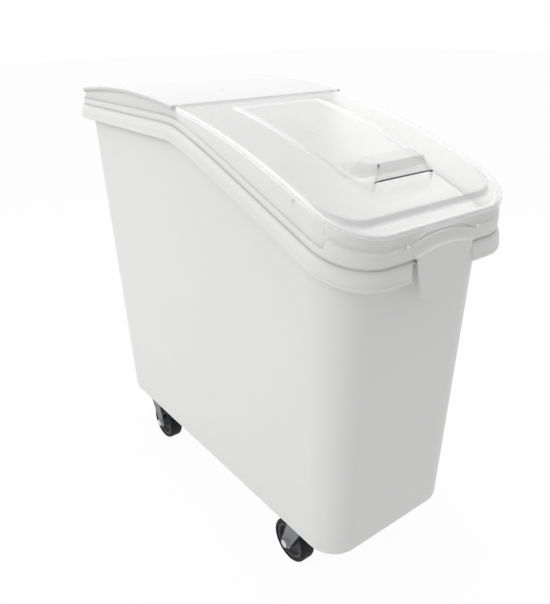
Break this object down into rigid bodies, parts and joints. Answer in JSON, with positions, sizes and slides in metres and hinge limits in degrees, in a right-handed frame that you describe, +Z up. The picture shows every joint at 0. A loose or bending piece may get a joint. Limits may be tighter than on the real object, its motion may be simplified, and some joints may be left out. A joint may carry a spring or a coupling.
{
  "type": "rice bin",
  "caption": "Tall narrow dry-food bin on swivel casters, with a sloping rim, a lift-off rear lid, a clear flip lid and a moulded pull tab.",
  "frame": {"origin": "on the floor at the middle of the bin's length and width", "axes": "+Z up; -Y is the low front end with the pull tab; X runs across the width"},
  "size_m": [0.324, 0.746, 0.7225],
  "materials": {
    "tub_white": "satin moulded polyethylene",
    "lid_white": "smooth moulded plastic",
    "clear_lid": "clear, glossy",
    "pin_plastic": "moulded",
    "zinc_steel": "zinc plated",
    "fork_steel": "pressed, plated, slightly dull",
    "core_plastic": "moulded",
    "tyre_rubber": "matt rubber"
  },
  "bodies": {
    "tub_body": {"tub": "tub_white", "plate_fl": "zinc_steel", "screws_fl": "zinc_steel", "king_pin_fl": "zinc_steel", "plate_fr": "zinc_steel", "screws_fr": "zinc_steel", "king_pin_fr": "zinc_steel", "plate_rl": "zinc_steel", "screws_rl": "zinc_steel", "king_pin_rl": "zinc_steel", "plate_rr": "zinc_steel", "screws_rr": "zinc_steel", "king_pin_rr": "zinc_steel"},
    "rear_lid_body": {"rear_lid": "lid_white", "hinge_pins": "pin_plastic"},
    "front_lid_body": {"front_lid": "clear_lid"},
    "fork_body_fl": {"fork_fl": "fork_steel", "balls_fl": "zinc_steel", "axle_bolt_fl": "zinc_steel", "axle_nut_fl": "zinc_steel", "sleeve_fl": "zinc_steel"},
    "wheel_body_fl": {"wheel_core_fl": "core_plastic", "tyre_fl": "tyre_rubber"},
    "fork_body_fr": {"fork_fr": "fork_steel", "balls_fr": "zinc_steel", "axle_bolt_fr": "zinc_steel", "axle_nut_fr": "zinc_steel", "sleeve_fr": "zinc_steel"},
    "wheel_body_fr": {"wheel_core_fr": "core_plastic", "tyre_fr": "tyre_rubber"},
    "fork_body_rl": {"fork_rl": "fork_steel", "balls_rl": "zinc_steel", "axle_bolt_rl": "zinc_steel", "axle_nut_rl": "zinc_steel", "sleeve_rl": "zinc_steel"},
    "wheel_body_rl": {"wheel_core_rl": "core_plastic", "tyre_rl": "tyre_rubber"},
    "fork_body_rr": {"fork_rr": "fork_steel", "balls_rr": "zinc_steel", "axle_bolt_rr": "zinc_steel", "axle_nut_rr": "zinc_steel", "sleeve_rr": "zinc_steel"},
    "wheel_body_rr": {"wheel_core_rr": "core_plastic", "tyre_rr": "tyre_rubber"}
  },
  "joints": [
    {"name": "rear_lid_lift", "type": "slide", "parent": "tub_body", "child": "rear_lid_body", "axis": [0, 0, 1], "range_m": [0, 0.17]},
    {"name": "front_lid_flip", "type": "hinge", "parent": "rear_lid_body", "child": "front_lid_body", "pos_m": [0, -0.006, 0.71073], "axis": [-1, 0, 0], "range_deg": [0, 178]},
    {"name": "swivel_fl", "type": "hinge", "parent": "tub_body", "child": "fork_body_fl", "pos_m": [-0.1, -0.23, 0.084], "axis": [0, 0, 1], "continuous": true},
    {"name": "roll_fl", "type": "hinge", "parent": "fork_body_fl", "child": "wheel_body_fl", "pos_m": [-0.1, -0.206, 0.0375], "axis": [1, 0, 0], "continuous": true},
    {"name": "swivel_fr", "type": "hinge", "parent": "tub_body", "child": "fork_body_fr", "pos_m": [0.1, -0.23, 0.084], "axis": [0, 0, 1], "continuous": true},
    {"name": "roll_fr", "type": "hinge", "parent": "fork_body_fr", "child": "wheel_body_fr", "pos_m": [0.1, -0.206, 0.0375], "axis": [1, 0, 0], "continuous": true},
    {"name": "swivel_rl", "type": "hinge", "parent": "tub_body", "child": "fork_body_rl", "pos_m": [-0.1, 0.248, 0.084], "axis": [0, 0, 1], "continuous": true},
    {"name": "roll_rl", "type": "hinge", "parent": "fork_body_rl", "child": "wheel_body_rl", "pos_m": [-0.1, 0.224, 0.0375], "axis": [1, 0, 0], "continuous": true},
    {"name": "swivel_rr", "type": "hinge", "parent": "tub_body", "child": "fork_body_rr", "pos_m": [0.1, 0.248, 0.084], "axis": [0, 0, 1], "continuous": true},
    {"name": "roll_rr", "type": "hinge", "parent": "fork_body_rr", "child": "wheel_body_rr", "pos_m": [0.1, 0.224, 0.0375], "axis": [1, 0, 0], "continuous": true}
  ]
}
